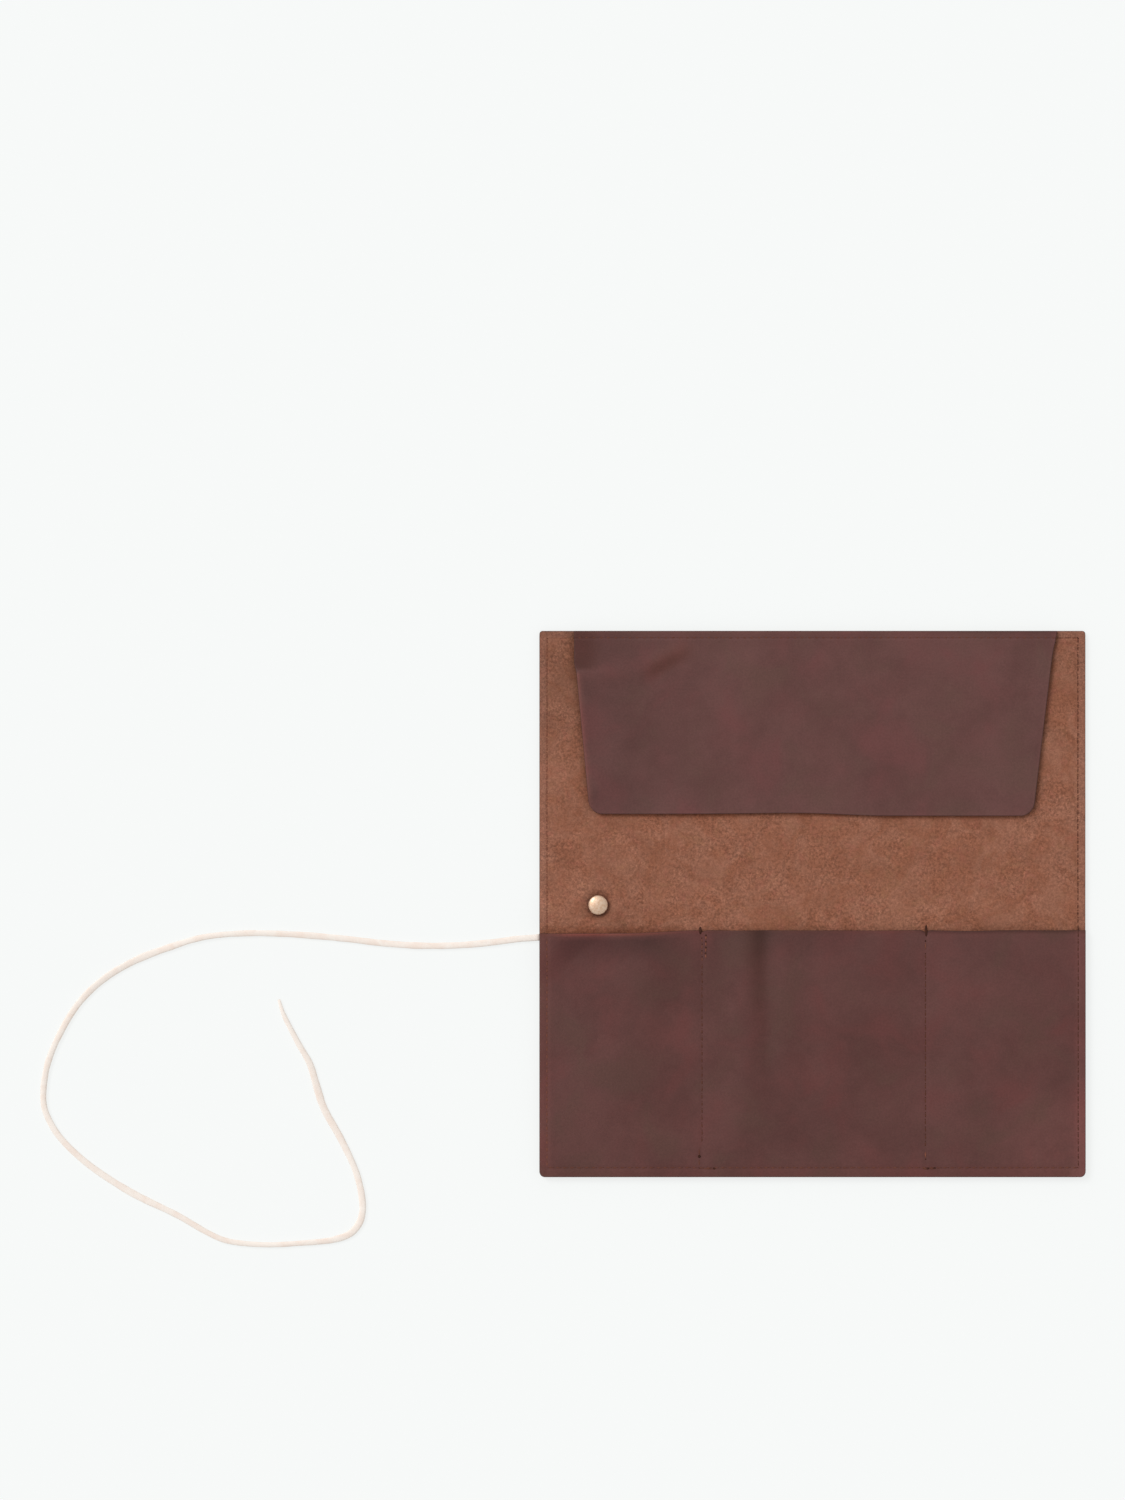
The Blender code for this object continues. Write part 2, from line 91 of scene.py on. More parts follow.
camera_data = bpy.data.cameras.new("camera")
camera_data.lens = LENS
camera_data.sensor_width = SENSOR
camera = bpy.data.objects.new("camera", camera_data)
camera.location = (*VIEW_CENTRE, VIEW_HEIGHT * LENS / SENSOR)
scene.collection.objects.link(camera)
scene.camera = camera

# ----- sizes of the looks, lengths in mm
TOP_CORNER = 1.5
BOTTOM_CORNER = 2.6
EDGE_ROUND = 0.45
SIDE_ROW = PANEL_HALF - 3.6
TOP_ROW = PANEL_HALF - 3.3
BOTTOM_ROW = -PANEL_HALF + 4.5
STITCH_PITCH = 3.4
THREAD_RADIUS = 0.27
THREAD_WANDER = 0.09
THREAD_END_GIRTH = 0.62
THREAD_SINK = 0.85
STITCH_GAP = 0.13
STITCH_JITTER = 0.05
SHEET_THICKNESS = 1.3
TOUCH = 0.05
BEND_HALF = 8.5

DRAPE_HEIGHT = 2.6
DRAPE_CREST = 6
DRAPE_SLOPE = 16
DRAPE_ROWS = (-38, 22)
POCKET_FULLNESS = 2.0
POCKET_RISE = 42
VALLEY_X = -23

FLAP_LEFT_X = -112.5
FLAP_RIGHT_X = 115.5
FLAP_LEFT_TAPER = 6.4
FLAP_RIGHT_TAPER = 10.5
FLAP_CORNER = 6
KINK_Y = 111

FLOOR_HALF = 6000
FLOOR_COLOUR = (0.2, 0.2036, 0.2019, 1)
FLOOR_GLOW = 3.71
LIGHT_STRENGTH = 1.5
LIGHT_SPREAD = math.radians(28)
LIGHT_FROM = (-0.62, 0.5, 0.8)
SKY_STRENGTH = 0.61

LACE_EXIT = (-130.2, -16)
LACE_EXIT_LIFT = 1.7
LACE_LENGTH = 580
LACE_THICKNESS = 2.1
LACE_SECTION = 1.35 * LACE_THICKNESS ** 2 / 4
LACE_SPACING = 1.4
LACE_SIDES = 16
LACE_SQUARENESS = 0.75
LACE_ROUTE = (
    (-129.8, -15.9), (-134.5, -16.3), (-141, -16.8), (-153, -18.4), (-170, -19.8),
    (-187, -19.9), (-204, -18.8), (-221, -16.8), (-238, -15.2), (-255, -14.2),
    (-272, -14.1), (-290, -15.9), (-306, -20.6), (-322, -26.7), (-337, -35.4),
    (-349, -46.7), (-358, -61), (-364.5, -77), (-366.3, -94), (-362.5, -105.2),
    (-355.5, -114.6), (-343, -125.6), (-324, -137.8), (-303, -148.1), (-288, -156.7),
    (-277.6, -160.8), (-261, -162.4), (-244, -161.7), (-227.5, -159.9), (-218.3, -155.5),
    (-214.2, -145.8), (-216.8, -129.5), (-224, -113.2), (-232.4, -98), (-236, -87.4),
    (-239.3, -76.4), (-245, -66.2), (-251.5, -53.5), (-254.2, -45.6),
)
# Share of the length, and the width seen there: the lace twists a little as it lies.
LACE_WIDTHS = (
    (0, 3.1), (0.2, 3), (0.27, 2.7), (0.33, 3.4), (0.38, 3.2), (0.47, 2.9), (0.6, 3.3),
    (0.66, 2.7), (0.74, 2.4), (0.79, 3.4), (0.85, 3), (0.91, 3.6), (0.95, 2.9), (0.985, 2.3),
    (1, 1.3),
)


# ----- materials
class Look:
    """A Principled material, and short ways to add nodes to it.

    A socket's value is a number, a colour or another node's output.
    """

    def __init__(self, name, roughness, specular, more=None):
        self.material = bpy.data.materials.new(name)
        self.material.use_nodes = True
        self.tree = self.material.node_tree
        self.shader = self.tree.nodes["Principled BSDF"]
        self.plug(self.shader, {"Roughness": roughness, "Specular IOR Level": specular,
                                **(more or {})})

    @functools.cached_property
    def place(self):
        """The stored rest position, which stays with the leather when it bends."""
        return self.stored("rest", "Vector")

    def plug(self, node, sockets):
        """Give values to a node's sockets."""
        for key, value in sockets.items():
            if isinstance(value, bpy.types.NodeSocket):
                self.tree.links.new(value, node.inputs[key])
            else:
                node.inputs[key].default_value = value

    def add(self, kind, output, sockets, **settings):
        """Add a node and return one of its outputs."""
        node = self.tree.nodes.new("ShaderNode" + kind)
        for name, value in settings.items():
            setattr(node, name, value)
        self.plug(node, sockets)
        return node.outputs[output]

    def stored(self, name, output="Fac"):
        """Return a value stored at each vertex: edge in millimetres, shade or warm."""
        return self.add("Attribute", output, {}, attribute_name=name)

    def maths(self, operation, *values):
        """Return the result of an operation."""
        return self.add("Math", 0, dict(enumerate(values)), operation=operation)

    def average(self, first, share, second):
        """Return the average of two values, with the given share of the first."""
        return self.maths("MULTIPLY_ADD", first, share, self.maths("MULTIPLY", second, 1 - share))

    def ramp(self, value, low, high, to_low=0.0, to_high=1.0):
        """Map a value smoothly from one range to another."""
        sockets = {"Value": value, "From Min": low, "From Max": high, "To Min": to_low,
                   "To Max": to_high}
        return self.add("MapRange", "Result", sockets, interpolation_type="SMOOTHSTEP")

    def noise(self, size, detail=2.0, roughness=0.5, distortion=0.0):
        """Return noise whose features are about size millimetres across."""
        sockets = {"Vector": self.place, "Scale": 1 / (size * MM), "Detail": detail,
                   "Roughness": roughness, "Distortion": distortion}
        return self.add("TexNoise", "Fac", sockets)

    def mix(self, share, first, second, blend="MIX"):
        """Mix two colours."""
        return self.add("Mix", 2, {0: share, 6: first, 7: second}, data_type="RGBA",
                        blend_type=blend)

    def scaled(self, colour, factor):
        """Make a colour lighter or darker."""
        return self.add("VectorMath", 0, {0: colour, "Scale": factor}, operation="SCALE")

    def shaded(self, colour):
        """Apply the stored shade (painted shade and highlights) to a colour, and redden it by the
        stored warmth.
        """
        tint = self.mix(self.stored("warm"), (1, 1, 1, 1), WARM_TINT)
        return self.mix(1.0, self.scaled(colour, self.stored("shade")), tint, "MULTIPLY")

    def painted_edge(self, colour, reach, share):
        """Darken a sheet's cut edge."""
        edge = self.ramp(self.stored("edge"), 0.1, reach, share, 0.0)
        return self.mix(edge, colour, EDGE_PAINT)

    def bump(self, height, distance, strength, normal=None):
        """Return a bumped normal, given the bump's height in millimetres."""
        sockets = {"Height": height, "Distance": distance * MM, "Strength": strength}
        if normal is not None:
            sockets["Normal"] = normal
        return self.add("Bump", "Normal", sockets)

    def finished(self, colour, normal, **sockets):
        """Give the shader its colour and normal, and return the material."""
        self.plug(self.shader, {"Base Color": colour, "Normal": normal, **sockets})
        return self.material


def linear(red, green, blue):
    """Return a linear colour from display values of 0 to 255."""
    values = [value / 255 for value in (red, green, blue)]
    return (*[v / 12.92 if v <= 0.04045 else ((v + 0.055) / 1.055) ** 2.4 for v in values], 1.0)


def grain_leather(name, *colours):
    """Waxed smooth leather: cloudy colour, fine pebbled grain, painted shade and highlights of
    creases, and worn edges.
    """
    dark, light, red, olive = [linear(*colour) for colour in colours]
    look = Look(name, 0.5, 0.22)
    tone = look.average(look.noise(40, 3, 0.5, 0.5), 0.65, look.noise(7, 4, 0.6))
    colour = look.mix(look.ramp(tone, 0.32, 0.68), dark, light)
    hue = look.noise(24, 3, 0.5, 0.4)
    colour = look.mix(look.ramp(hue, 0.48, 0.72, 0.0, 0.7), colour, red)
    colour = look.mix(look.ramp(hue, 0.5, 0.3, 0.0, 0.7), colour, olive)
    speckle = look.ramp(look.noise(0.9, 3, 0.65), 0.25, 0.75, 0.91, 1.08)
    colour = look.painted_edge(look.shaded(look.scaled(colour, speckle)), 0.45, 0.6)
    pores = look.add("TexVoronoi", "Distance", {"Vector": look.place, "Scale": 1 / (0.8 * MM)},
                     feature="DISTANCE_TO_EDGE")
    normal = look.bump(look.noise(3.4, 6, 0.64, 0.9), 0.3, 0.4)
    normal = look.bump(look.ramp(pores, 0.0, 0.22), 0.06, 0.4, normal)
    return look.finished(colour, normal, Roughness=look.ramp(tone, 0.3, 0.7, 0.58, 0.46))


def suede():
    """Flesh side of the leather: brushed nap with dark flecks, pale flecks painted as glints of
    light on the nap, soft patches and the stored painted shade.
    """
    look = Look("suede_lining", 0.95, 0.06, {"Sheen Weight": 0.08, "Sheen Roughness": 0.5})
    brushed = look.ramp(look.noise(14, 4, 0.62, 1.2), 0.34, 0.66)
    colour = look.mix(brushed, linear(139, 89, 68), linear(148, 100, 80))
    hue = look.noise(8, 3, 0.6, 1.2)
    colour = look.mix(look.ramp(hue, 0.54, 0.72, 0.0, 0.4), colour, linear(152, 93, 77))
    colour = look.mix(look.ramp(hue, 0.44, 0.28, 0.0, 0.4), colour, linear(142, 99, 73))
    flecks = look.noise(1.3, 3, 0.6, 0.5)
    fibres = look.noise(0.6, 3, 0.6, 0.3)
    patches = look.ramp(look.noise(18, 2), 0.35, 0.65, 0.5, 1.15)
    # Pale flecks: painted glints of light on the nap.
    painted_glints = look.ramp(look.noise(1.1, 2, 0.5, 2.0), 0.55, 0.68, -0.02, 0.26)
    fleck = look.maths("ADD", look.ramp(flecks, 0.3, 0.7, -0.25, 0.24), painted_glints)
    colour = look.scaled(colour, look.maths("MULTIPLY_ADD", fleck, patches, 1.0))
    worn = look.ramp(look.stored("edge"), 3.6, 2.6)
    colour = look.mix(look.maths("MULTIPLY", worn, 0.3), colour, linear(146, 106, 92))
    rough = look.maths("MULTIPLY_ADD", worn, 0.12, 0.12)
    grit = look.maths("MULTIPLY_ADD", look.ramp(fibres, 0.3, 0.7, -1.0, 1.0), rough, 1.0)
    colour = look.painted_edge(look.shaded(look.scaled(colour, grit)), 0.4, 0.7)
    return look.finished(colour, look.bump(look.average(flecks, 0.6, fibres), 0.3, 0.45))


def thread_material():
    """Waxed brown thread with a fine twist, darkened with painted shade where it goes into its
    holes.
    """
    look = Look("waxed_thread", 0.75, 0.1)
    colour = look.mix(look.noise(1.2, 2), linear(86, 52, 44), linear(118, 82, 70))
    twist = look.add("TexWave", "Fac", {"Vector": look.place, "Scale": 1 / (0.9 * MM)},
                     bands_direction="DIAGONAL")
    return look.finished(look.shaded(colour), look.bump(twist, 0.08, 0.6))


def brass_material():
    """Pale brass with a satin face and small wear marks."""
    look = Look("pale_brass", 0.3, 0.5, {"Metallic": 1.0})
    look.place = look.add("TexCoord", "Object", {})
    wear = look.noise(1.1, 5, 0.7)
    colour = look.mix(look.ramp(wear, 0.35, 0.7), linear(222, 186, 156), linear(246, 220, 196))
    scratches = look.bump(look.noise(0.35, 3, 0.6), 0.02, 0.4)
    return look.finished(colour, scratches, Roughness=look.ramp(wear, 0.3, 0.7, 0.6, 0.46))


def lace_material():
    """Natural undyed leather: pale, with soft fibres and faint tan streaks."""
    look = Look("natural_lace", 0.7, 0.25, {"Sheen Weight": 0.1})
    streaks = look.ramp(look.noise(6, 4, 0.6, 0.5), 0.35, 0.75)
    fibres = look.noise(0.5, 3, 0.6)
    colour = look.mix(streaks, linear(252, 242, 233), linear(248, 231, 219))
    colour = look.scaled(colour, look.ramp(fibres, 0.3, 0.7, 0.96, 1.02))
    return look.finished(colour, look.bump(fibres, 0.12, 0.5))


EDGE_PAINT = linear(70, 50, 45)
WARM_TINT = (1.14, 0.9, 0.76, 1)
# Each leather's dark, light, red and olive tones.
GRAIN_COLOURS = {
    "pocket": ((88, 53, 49), (98, 61, 57), (102, 57, 54), (90, 60, 53)),
    "flap": ((93, 59, 55), (103, 67, 63), (107, 63, 61), (96, 66, 59)),
    "outer": ((88, 54, 50), (99, 63, 59), (102, 59, 56), (92, 62, 55)),
}
MATERIALS = {name: grain_leather(f"{name}_leather", *colours)
             for name, colours in GRAIN_COLOURS.items()}
MATERIALS.update(suede=suede(), thread=thread_material(), brass=brass_material(),
                 lace=lace_material())


# ----- mesh helpers
def new_object(name, vertices, faces, material, **stored_values):
    """Make a smooth mesh object that stores its rest positions, and other values by name."""
    vertices = np.asarray(vertices, float) * MM
    mesh = bpy.data.meshes.new(name)
    mesh.from_pydata(vertices.tolist(), [], faces)
    mesh.materials.append(material)
    mesh.shade_smooth()
    places = mesh.attributes.new("rest", "FLOAT_VECTOR", "POINT")
    places.data.foreach_set("vector", vertices.astype(np.float32).ravel())
    for key, values in stored_values.items():
        attribute = mesh.attributes.new(key, "FLOAT", "POINT")
        attribute.data.foreach_set("value", np.asarray(values, np.float32).ravel())
    piece = bpy.data.objects.new(name, mesh)
    scene.collection.objects.link(piece)
    return piece


def face_outwards(piece):
    """Turn every face of closed shapes outwards."""
    bm = bmesh.new()
    bm.from_mesh(piece.data)
    bmesh.ops.recalc_face_normals(bm, faces=bm.faces[:])
    bm.to_mesh(piece.data)
    bm.free()


def ring_faces(rings, sides):
    """Return the faces of a tube made of rings of points: its quads, then its two ends."""
    faces = []
    for i in range(rings - 1):
        for k in range(sides):
            following = (k + 1) % sides
            faces.append((i * sides + k, i * sides + following,
                          (i + 1) * sides + following, (i + 1) * sides + k))
    faces.append(tuple(range(sides))[::-1])
    faces.append(tuple((rings - 1) * sides + k for k in range(sides)))
    return faces


def ease(value, start, end):
    """Rise smoothly from 0, where value is start, to 1, where it is end."""
    share = np.clip((value - start) / (end - start), 0, 1)
    return share * share * (3 - 2 * share)


def bell(value, centre, width):
    """Return a soft hump, 1 at its centre."""
    return np.exp(-((value - centre) / width) ** 2)


def undulation(x, y, size, seed):
    """Return soft random waves of about the given size, mostly from -1 to 1."""
    random = np.random.default_rng(seed)
    total = 0.0
    waves = 7
    for _ in range(waves):
        angle = random.uniform(0, 2 * math.pi)
        length = size * random.uniform(0.6, 1.7)
        phase = random.uniform(0, 2 * math.pi)
        total = total + np.sin((x * math.cos(angle) + y * math.sin(angle)) * 2 * math.pi / length
                               + phase)
    return total / (0.5 * waves)


def smooth_route(points, spacing):
    """Return evenly spaced points on a smooth curve through the given ones."""
    points = np.array(points, float)
    padded = np.vstack([2 * points[0] - points[1], points, 2 * points[-1] - points[-2]])
    span_steps = 24
    steps = np.arange(span_steps)[:, None] / span_steps
    fine = []
    for before, start, end, after in zip(padded, padded[1:], padded[2:], padded[3:]):
        fine.append(0.5 * (2 * start + (end - before) * steps
                           + (2 * before - 5 * start + 4 * end - after) * steps ** 2
                           + (3 * start - before - 3 * end + after) * steps ** 3))
    fine = np.vstack([*fine, points[-1:]])
    lengths = np.concatenate([[0], np.cumsum(np.linalg.norm(np.diff(fine, axis=0), axis=1))])
    count = round(lengths[-1] / spacing) + 1
    wanted = np.linspace(0, lengths[-1], count)
    return np.stack([np.interp(wanted, lengths, axis) for axis in fine.T], axis=1)


# ----- the lace
def build_lace():
    """Make the free lace: a slightly flat thong that turns as it lies, thinner at its tip."""
    route = smooth_route(LACE_ROUTE, LACE_SPACING)
    share = np.linspace(0, 1, len(route))
    along = share * LACE_LENGTH
    stops, widths = np.array(LACE_WIDTHS).T
    half_width = np.interp(share, stops, widths) / 2
    half_height = np.minimum(LACE_SECTION / half_width, LACE_THICKNESS / 2)
    half_height = np.minimum(half_height, half_width)
    half_width = half_width * (1 + 0.05 * undulation(along, 0.0, 9, 5))
    centre_z = np.maximum(half_height, LACE_EXIT_LIFT * ease(along, 8, 0))
    tangent = np.gradient(route, axis=0)
    tangent /= np.linalg.norm(tangent, axis=1)[:, None]
    side = np.stack([-tangent[:, 1], tangent[:, 0]], axis=1)
    turn = 0.28 * undulation(along, 20.0, 70, 8)
    rings = []
    for k in range(LACE_SIDES):
        angle = 2 * math.pi * k / LACE_SIDES
        cosine, sine = math.cos(angle), math.sin(angle)
        across = half_width * math.copysign(abs(cosine) ** LACE_SQUARENESS, cosine)
        up = half_height * math.copysign(abs(sine) ** LACE_SQUARENESS, sine)
        height = np.maximum(centre_z + up + across * np.sin(turn) * 0.5, TOUCH)
        rings.append(np.column_stack([route + side * across[:, None], height]))
    vertices = np.stack(rings, axis=1).reshape(-1, 3)
    lace = new_object("lace", vertices, ring_faces(len(route), LACE_SIDES), MATERIALS["lace"])
    face_outwards(lace)
    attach(lace, "panel_1")
    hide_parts("tie_lace")


# ----- shape of the leather
# Each _surface function returns a sheet's underside, top, shade and warmth at every point.
# Each _tone function returns the last two: shade multiplies the colour with painted shade and
# painted highlights where light falls on folds, edges and the mouth, besides random tone; warmth
# reddens it, mostly in that painted shade and those highlights.
def drape(x, y):
    """Return how far the lace's hidden end lifts the leather."""
    along = np.subtract(LACE_EXIT, (RIVET_X, RIVET_Y))
    along /= np.linalg.norm(along)
    dx, dy = x - RIVET_X, y - RIVET_Y
    forward = np.maximum(dx * along[0] + dy * along[1], 0)
    distance = np.hypot(dx - forward * along[0], dy - forward * along[1])
    return DRAPE_HEIGHT * ease(distance, DRAPE_CREST + DRAPE_SLOPE, DRAPE_CREST)


def seam_groove(x, y, depth=0.22):
    """Return how deep the rows of stitches pull into the leather round the edge."""
    nearest = np.minimum(np.abs(np.abs(x) - SIDE_ROW), np.abs(y - BOTTOM_ROW))
    nearest = np.minimum(nearest, np.abs(y - TOP_ROW))
    return depth * ease(nearest, 0.9, 0)


def rivet_distance(x, y):
    """Return how far a point is outside the rivet's cap."""
    return np.hypot(x - RIVET_X, y - RIVET_Y) - RIVET_RADIUS


def side_strip(x, y):
    """Return 1 in the narrow strip outside the seams, fading inwards."""
    inside = np.minimum(PANEL_HALF - np.abs(x), y + PANEL_HALF)
    return ease(inside, 6.5, 3.5)


def outer_surface(x, y):
    """Shape and tint the outer leather."""
    low = drape(x, y)
    shade = 1 + 0.05 * undulation(x, y, 50, 71)
    return low, low + OUTER_TOP + TOUCH, shade, 0.3 * side_strip(x, y)


def lining_surface(x, y):
    """Shape and tint the lining, which is pressed in under the rivet's cap."""
    base = drape(x, y)
    top = LINING_TOP + base + 0.1 * undulation(x, y, 24, 11)
    dimple = 0.7 * ease(rivet_distance(x, y), 3.2, 0)
    return base + OUTER_TOP + TOUCH, top - seam_groove(x, y) - dimple, *lining_tone(x, y)


def lining_tone(x, y):
    """Tint the lining: darker in the top corners, and painted shade along the mouth, round the
    rivet and along the flap's edges, where shadows fall.
    """
    above_mouth = y - mouth_line(x)
    over_left_pocket = ease(x, -55, -75)
    flap_left, flap_right = flap_sides(y)
    beside_flap = np.abs(np.maximum(flap_left - x, x - flap_right))
    flap_side = ease(beside_flap, 4, 0) * (y > FLAP_END_Y)
    flap_end = ease(np.abs(flap_end_line(x) - y), 2.6, 0) * ease(np.abs(x), 104, 100)
    shade = 1 + 0.05 * undulation(x, y, 19, 12)
    # Painted shadow beside the flap's upper left edge; darker towards the upper right.
    shade -= 0.185 * ease(y, 62, 98) * ease(x, -45, -105)
    shade -= 0.08 * ease(y, 96, 116) * ease(x, 45, 105)
    shade += 0.05 * ease(x, -126.2, -127.4)
    # Painted shade along the pocket mouth, deeper over the left pocket.
    shade -= 0.24 * over_left_pocket * ease(above_mouth, 6, 0)
    shade -= 0.03 * ease(above_mouth, 4, 0)
    # Painted shadow in a ring round the rivet's cap.
    shade -= 0.2 * ease(rivet_distance(x, y - 0.6), 5, 0)
    shade -= 0.4 * ease(rivet_distance(x, y), 1.4, 0)
    # Painted shadow along the flap's sides and free end.
    shade -= 0.18 * flap_side + 0.16 * flap_end
    # Warmth reddens the painted shade over the left pocket's mouth and at the flap's end.
    return shade, 0.5 * over_left_pocket * ease(above_mouth, 4, 0) + 0.5 * flap_end


def pocket_fullness(x, y):
    """Return how far the empty pockets stand off the lining."""
    seams = (-SIDE_ROW, *DIVIDER_X, SIDE_ROW)
    full = np.zeros_like(x)
    for left, right in zip(seams, seams[1:]):
        across = np.sin(math.pi * np.clip((x - left) / (right - left), 0, 1)) ** 1.5
        full = np.maximum(full, across)
    rise = ease(y, BOTTOM_ROW, BOTTOM_ROW + POCKET_RISE)
    return POCKET_FULLNESS * full * rise * (1 + 0.12 * undulation(x, y, 60, 21))


def fold_valley(x, y):
    """Return the soft upright valley in the middle pocket, from 0 to 1."""
    wander = 1.5 * np.sin(y / 17)
    return bell(x, VALLEY_X + wander, 4.9) * ease(y, -112, -42)


def mouth_line(x):
    """Return the pocket mouth's y: it dips to the left and is notched at each divider."""
    line = MOUTH_Y - 1.4 * ease(x, -48, -98) + 0.2 * undulation(x, 0.0, 45, 31)
    for seam in DIVIDER_X:
        line = line - 0.8 * bell(x, seam, 1.2)
    return line


def front_surface(x, y):
    """Shape and tint the pocket front, which sags into the open pockets."""
    fullness = pocket_fullness(x, y)
    ridges = bell(x, VALLEY_X - 10, 6) + 0.7 * bell(x, VALLEY_X + 11, 6)
    sag = ease(y, BOTTOM_ROW, BOTTOM_ROW + 30) * (0.45 * ridges - 0.95 * fold_valley(x, y))
    sag = sag + 0.14 * undulation(x, y, 22, 41)
    sag = np.where(fullness > 0.3, sag, 0.2 * sag)
    low = LINING_TOP + TOUCH + np.maximum(drape(x, y), fullness) + sag
    groove = seam_groove(x, y)
    for seam in DIVIDER_X:
        groove = groove + 0.14 * ease(np.abs(x - seam), 1.4, 0)
    return low, low + SHEET_THICKNESS - groove, *front_tone(x, y)


def front_tone(x, y):
    """Tint the pocket front: a painted highlight on its lip, painted shadows under the mouth,
    painted shade in the valley, and lighter and darker patches and side strips.
    """
    below = mouth_line(x) - y
    lip = ease(below, 2.4, 0)
    left = ease(x, -56, -82) * ease(x, -129, -115)
    middle = ease(x, 30, 16) * ease(x, -60, -40)
    right = ease(x, 45, 55)
    valley = fold_valley(x, y) * (1 + 1.4 * ease(y, -62, -22))
    strip = side_strip(x, y)
    rim = np.abs(x) > PANEL_HALF - 7
    # Random tone, with painted shade in the fold valley.
    shade = 1 + 0.04 * undulation(x, y, 34, 42) - 0.15 * valley
    # Painted shade under the mouth: a broad band below the left lip and in the middle, a painted
    # highlight on the left lip and a thin painted shadow line on the right.
    shade -= 0.36 * left * ease(below, 0, 4) * ease(below, 20, 4)
    shade -= 0.13 * middle * ease(below, 18, 0)
    shade += lip * (0.5 * left - 0.03 * middle)
    shade -= 0.42 * right * ease(below, 2.1, 0)
    shade += 0.22 * ease(x, 85, 110) * ease(y, -82, -106)
    shade -= 0.12 * bell(x, -6, 22) * bell(y, -107, 18)
    shade -= 0.06 * bell(x, 12, 17) * bell(y, -68, 11)
    shade += strip * rim * np.where(x > 0, 0.25, 0.12)
    # Warmth reddens the side strips, the lip's painted highlight and the valley's painted shade.
    warm = strip * np.where(rim & (x > 0), 0.05, 0.25)
    return shade, warm + lip * (0.8 * left + 0.5) + 0.2 * valley


def flap_sides(y):
    """Return the flap's left and right edges, without its rounded corners."""
    length = PANEL_HALF - FLAP_END_Y
    part = np.clip((PANEL_HALF - y) / length, 0, 1)
    kink = (PANEL_HALF - KINK_Y) / length
    left = FLAP_LEFT_X + FLAP_LEFT_TAPER * np.maximum(part - kink, 0) / (1 - kink)
    right = FLAP_RIGHT_X - FLAP_RIGHT_TAPER * part
    return left - 1.0 * ease(y, KINK_Y, KINK_Y + 3), right + 0.9 * ease(part, 0.16, 0)


def flap_end_line(x):
    """Return the y of the flap's free end, which wanders a little."""
    return FLAP_END_Y + 0.4 * bell(x, -10, 30) - 0.9 * ease(x, -5, 35)


def diagonal_crease(x, y, start, end, width):
    """Return a soft ridge along a line, from 0 to 1."""
    along = np.subtract(end, start)
    length = np.linalg.norm(along)
    along = along / length
    forward = (x - start[0]) * along[0] + (y - start[1]) * along[1]
    across = (y - start[1]) * along[0] - (x - start[0]) * along[1]
    ends = ease(forward, 0, 0.35 * length) * ease(forward, length, 0.65 * length)
    return ends * bell(across, 0, width)


def flap_creases(x, y):
    """Return the flap's diagonal creases: a valley, the ridge above it and a fainter valley."""
    valley = diagonal_crease(x, y, (-84, 105), (-54, 123), 3.2)
    ridge = diagonal_crease(x, y, (-84, 110), (-54, 128), 3.6)
    faint = diagonal_crease(x, y, (-64, 103), (-42, 117), 3.6)
    return valley, ridge, faint


def flap_kink(x, y):
    """Return where the flap's left edge is pressed down, and the ridge that starts below it."""
    inset = x - flap_sides(y)[0]
    pressed = ease(y, KINK_Y, KINK_Y + 1.6) * ease(inset, 15, 4)
    ridge = bell(y, KINK_Y - 0.8, 4) * ease(inset, 32, 10)
    return pressed, ridge * (1 - pressed)


def flap_surface(x, y):
    """Shape and tint the flap and its sewn margin: curled edges, waves, creases and the kink."""
    left, right = flap_sides(y)
    valley, ridge, faint = flap_creases(x, y)
    pressed, kink_ridge = flap_kink(x, y)
    near_edge = np.minimum(np.minimum(right - x, y - flap_end_line(x)), x - left)
    curl = 0.4 * ease(near_edge, 9, 0) * (1 - pressed)
    waves = 0.2 * (1 + undulation(x, y, 38, 51)) * (1 - 0.8 * pressed)
    folds = 0.55 * ridge - 0.35 * valley - 0.2 * faint + 0.55 * kink_ridge
    free = ease(y, FOLD_Y, FOLD_Y - 12)
    low = FLAP_BOTTOM + free * np.maximum(curl + waves + folds, 0)
    crease_ridge = (FOLD_Z - FLAP_TOP) * ease(np.abs(y - FOLD_Y), 4, 0)
    high = low + SHEET_THICKNESS + crease_ridge - seam_groove(x, y, 0.2)
    return low, high, *flap_tone(x, y)


def flap_tone(x, y):
    """Tint the flap: painted highlights on its rims and on the ridges of its creases and kink,
    painted shade in the crease valleys and the pressed corner, and a darker top edge.
    """
    left, right = flap_sides(y)
    valley, ridge, faint = flap_creases(x, y)
    pressed, kink_ridge = flap_kink(x, y)
    left_rim = ease(y, KINK_Y, KINK_Y - 1.6) * ease(x - left, 2.6, 0)
    shade = 0.9 + 0.03 * undulation(x, y, 33, 52) + 0.11 * ease(x, -96, -46)
    # Painted shade in the pressed corner and the crease valleys, painted highlights on the ridges.
    shade -= 0.24 * pressed + 0.17 * valley + 0.07 * faint - 0.05 * ridge - 0.1 * kink_ridge
    # Painted highlights along the left rim below the kink, the right rim and the free end.
    shade += left_rim * (0.32 + 0.3 * ease(y, KINK_Y - 24, KINK_Y))
    shade += 0.14 * ease(right - x, 2, 0)
    shade += 0.1 * ease(y - flap_end_line(x), 1.5, 0)
    shade -= 0.3 * ease(PANEL_HALF - y, 1.8, 0) * ease(x, 20, 80)
    # Warmth reddens the painted shade and highlights, and the top edge.
    warm = 0.7 * pressed + 0.6 * valley + 0.3 * ridge + 0.5 * left_rim
    return shade, warm + 0.2 * ease(y, TOP_ROW, TOP_ROW + 2)


